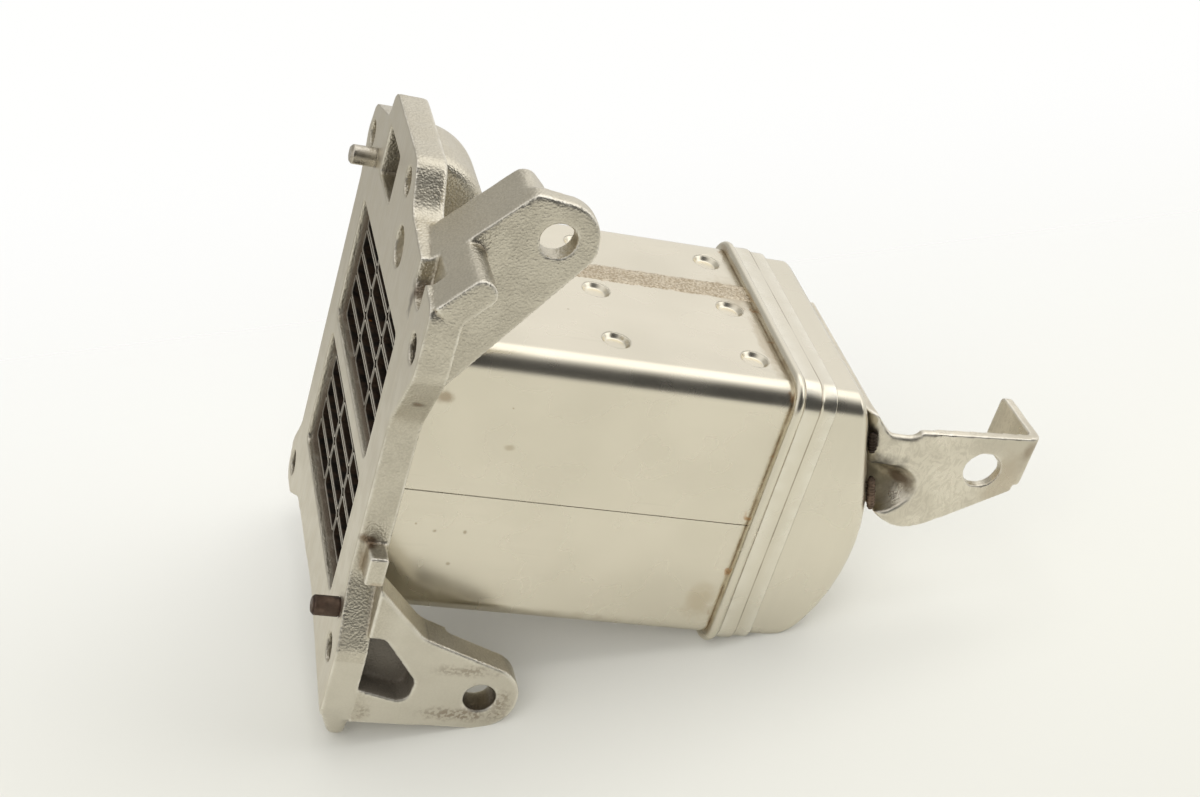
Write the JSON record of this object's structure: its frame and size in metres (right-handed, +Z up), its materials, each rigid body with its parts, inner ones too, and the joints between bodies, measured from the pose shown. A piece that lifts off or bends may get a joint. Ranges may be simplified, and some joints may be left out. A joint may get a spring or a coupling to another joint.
{
  "type": "exhaust gas recirculation cooler",
  "caption": "Brazed stainless EGR cooler with a cast mounting flange, flat gas tubes, drawn end cap and bent rear bracket.",
  "frame": {"origin": "on the flange's sealing face, at the middle of the core", "axes": "+X along the core away from the flange, +Y towards the far side, +Z up"},
  "size_m": [0.213, 0.1308, 0.1802],
  "materials": {
    "cast_steel": "fine grained investment cast steel, machined on the sealing face",
    "pin_steel": "ground dowel pin with light tarnish",
    "rusty_pin": "dowel pin with dark brown rust",
    "tube_sheet": "sooty stainless sheet",
    "shell_sheet": "satin stainless sheet",
    "drawn_sheet": "satin drawn stainless sheet",
    "bracket_sheet": "satin stainless sheet with handling wear",
    "weld_bead": "reddish brown heat tinted weld",
    "braze": "granular sandy braze",
    "sooty_tube": "sooty stainless tube with worn bright edges"
  },
  "bodies": {
    "root": {"flange": "cast_steel", "dowel_pin_upper": "pin_steel", "dowel_pin_lower": "rusty_pin", "front_header": "tube_sheet", "rear_header": "drawn_sheet", "shell_upper": "shell_sheet", "shell_lower": "shell_sheet", "end_cap": "drawn_sheet", "rear_bracket": "bracket_sheet", "bracket_weld_lower": "weld_bead", "bracket_weld_upper": "weld_bead", "bracket_weld_far": "weld_bead", "braze_strip": "braze", "gas_tube_1_1": "sooty_tube", "gas_tube_1_2": "sooty_tube", "gas_tube_1_3": "sooty_tube", "gas_tube_2_1": "sooty_tube", "gas_tube_2_2": "sooty_tube", "gas_tube_2_3": "sooty_tube", "gas_tube_3_1": "sooty_tube", "gas_tube_3_2": "sooty_tube", "gas_tube_3_3": "sooty_tube", "gas_tube_4_1": "sooty_tube", "gas_tube_4_2": "sooty_tube", "gas_tube_4_3": "sooty_tube", "gas_tube_5_1": "sooty_tube", "gas_tube_5_2": "sooty_tube", "gas_tube_5_3": "sooty_tube", "gas_tube_6_1": "sooty_tube", "gas_tube_6_2": "sooty_tube", "gas_tube_6_3": "sooty_tube", "gas_tube_7_1": "sooty_tube", "gas_tube_7_2": "sooty_tube", "gas_tube_7_3": "sooty_tube", "gas_tube_8_1": "sooty_tube", "gas_tube_8_2": "sooty_tube", "gas_tube_8_3": "sooty_tube", "gas_tube_9_1": "sooty_tube", "gas_tube_9_2": "sooty_tube", "gas_tube_9_3": "sooty_tube", "gas_tube_10_1": "sooty_tube", "gas_tube_10_2": "sooty_tube", "gas_tube_10_3": "sooty_tube"}
  },
  "joints": []
}
